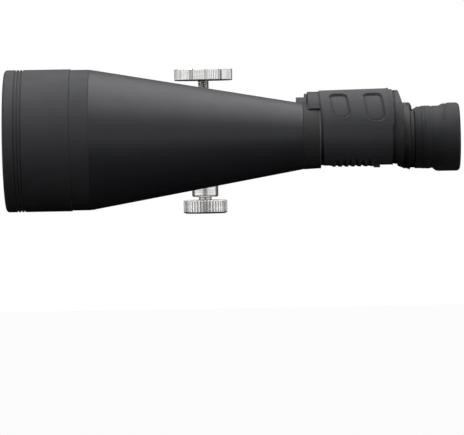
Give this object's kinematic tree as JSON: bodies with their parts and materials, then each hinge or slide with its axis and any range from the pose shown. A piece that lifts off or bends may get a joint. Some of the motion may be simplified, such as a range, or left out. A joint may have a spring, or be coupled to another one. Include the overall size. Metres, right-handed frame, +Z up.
{
  "type": "astronomy binoculars",
  "caption": "Giant porro-prism binocular with long tapered barrels, hinged housings, centre focus wheel, rubber eyecups and a sliding tripod adapter on its centre rod.",
  "frame": {"origin": "mouth of the tripod socket in the thumb wheel under the adapter", "axes": "+Z up, +X towards the eyepieces along the optical axes, +Y to the user's right, objectives point along -X"},
  "size_m": [0.3147, 0.23, 0.1023],
  "materials": {
    "hood": "matte black",
    "barrel": "satin black",
    "collar": "matte black",
    "casting": "satin black",
    "armour": "matte grained rubber",
    "eyecup": "matte rubber",
    "grip": "matte ribbed rubber",
    "lens": "polished, coated",
    "prism": "polished",
    "baffle": "black anodised",
    "steel": "satin nickel plated",
    "rod": "satin black",
    "screw": "blackened steel",
    "spring": "bare spring steel",
    "nylon": "black nylon"
  },
  "bodies": {
    "spine": {"center_rod": "rod", "rod_front_cap": "rod", "rod_collars": "rod", "hinge_washers": "nylon", "wheel_clip": "spring"},
    "left_half": {"left_objective_hood": "hood", "left_objective_barrel": "barrel", "left_objective_cell": "baffle", "left_objective_doublet": "lens", "left_lens_retainer": "baffle", "left_front_arm": "casting", "left_barrel_collar": "collar", "left_prism_housing": "casting", "left_strap_lug": "armour", "left_housing_armour": "armour", "left_prisms": "prism", "left_prism_shelf": "baffle", "left_prism_clips": "spring", "left_rear_cover": "casting", "left_screws": "screw"},
    "right_half": {"right_objective_hood": "hood", "right_objective_barrel": "barrel", "right_objective_cell": "baffle", "right_objective_doublet": "lens", "right_lens_retainer": "baffle", "right_front_arm": "casting", "right_barrel_collar": "collar", "right_prism_housing": "casting", "right_strap_lug": "armour", "right_housing_armour": "armour", "right_prisms": "prism", "right_prism_shelf": "baffle", "right_prism_clips": "spring", "right_rear_cover": "casting", "right_screws": "screw"},
    "left_eyepiece": {"left_bridge_arm": "casting", "left_eyepiece_tube": "baffle", "left_eyepiece_ring": "collar", "left_eyepiece_lenses": "lens", "left_eye_lens_ring": "baffle", "left_eyecup": "eyecup"},
    "right_eyepiece": {"right_bridge_arm": "casting", "right_eyepiece_sleeve": "baffle"},
    "right_ocular": {"right_ocular_tube": "baffle", "right_eyepiece_lenses": "lens", "right_eye_lens_ring": "baffle", "right_eyecup": "eyecup"},
    "diopter": {"diopter_ring": "collar"},
    "focus_wheel": {"focus_wheel_hub": "baffle", "focus_grip": "grip"},
    "focus_drive": {"focus_spindle": "steel", "spindle_screw": "screw"},
    "adapter_slider": {"adapter_bush": "nylon"},
    "adapter": {"adapter_block": "casting", "tripod_post": "steel"},
    "clamp_shoe": {"clamp_pad": "nylon"},
    "clamp_screw": {"clamp_knob": "steel", "clamp_stud": "steel"},
    "tripod_wheel": {"thumb_wheel": "steel", "spindle_clip": "spring"}
  },
  "joints": [
    {"name": "left_fold", "type": "hinge", "parent": "spine", "child": "left_half", "pos_m": [0.0887, 0, 0.0669], "axis": [-1, 0, 0], "range_deg": [-12, 22]},
    {"name": "right_fold", "type": "hinge", "parent": "spine", "child": "right_half", "pos_m": [0.0887, 0, 0.0669], "axis": [1, 0, 0], "range_deg": [-12, 22]},
    {"name": "focus_turn", "type": "hinge", "parent": "spine", "child": "focus_wheel", "pos_m": [0.1237, 0, 0.0669], "axis": [1, 0, 0], "range_deg": [0, 450.01]},
    {"name": "spindle_travel", "type": "slide", "parent": "spine", "child": "focus_drive", "axis": [1, 0, 0], "range_m": [0, 0.008]},
    {"name": "left_eyepiece_travel", "type": "slide", "parent": "left_half", "child": "left_eyepiece", "axis": [1, 0, 0], "range_m": [0, 0.008]},
    {"name": "right_eyepiece_travel", "type": "slide", "parent": "right_half", "child": "right_eyepiece", "axis": [1, 0, 0], "range_m": [0, 0.008]},
    {"name": "diopter_turn", "type": "hinge", "parent": "right_eyepiece", "child": "diopter", "pos_m": [0.1451, 0.033, 0.0513], "axis": [1, 0, 0], "range_deg": [-60.01, 60.01]},
    {"name": "diopter_travel", "type": "slide", "parent": "right_eyepiece", "child": "right_ocular", "axis": [1, 0, 0], "range_m": [-0.0014, 0.0014]},
    {"name": "adapter_slide", "type": "slide", "parent": "spine", "child": "adapter_slider", "axis": [1, 0, 0], "range_m": [-0.034, 0.046]},
    {"name": "adapter_swivel", "type": "hinge", "parent": "adapter_slider", "child": "adapter", "pos_m": [0, 0, 0.0669], "axis": [1, 0, 0], "range_deg": [-8, 8]},
    {"name": "clamp_turn", "type": "hinge", "parent": "clamp_shoe", "child": "clamp_screw", "pos_m": [0, 0, 0.0933], "axis": [0, 0, 1], "range_deg": [0, 540.01]},
    {"name": "clamp_lift", "type": "slide", "parent": "adapter", "child": "clamp_shoe", "axis": [0, 0, 1], "range_m": [0, 0.00187]},
    {"name": "tripod_wheel_turn", "type": "hinge", "parent": "adapter", "child": "tripod_wheel", "pos_m": [0, 0, 0.0053], "axis": [0, 0, 1], "continuous": true}
  ],
  "couplings": [
    {"joint": "right_fold", "follows": "left_fold", "ratio": 1},
    {"joint": "focus_turn", "follows": "spindle_travel", "rad_per_m": 981.75},
    {"joint": "left_eyepiece_travel", "follows": "spindle_travel", "ratio": 1},
    {"joint": "right_eyepiece_travel", "follows": "spindle_travel", "ratio": 1},
    {"joint": "diopter_turn", "follows": "diopter_travel", "rad_per_m": 748},
    {"joint": "clamp_turn", "follows": "clamp_lift", "rad_per_m": 5026.5}
  ]
}
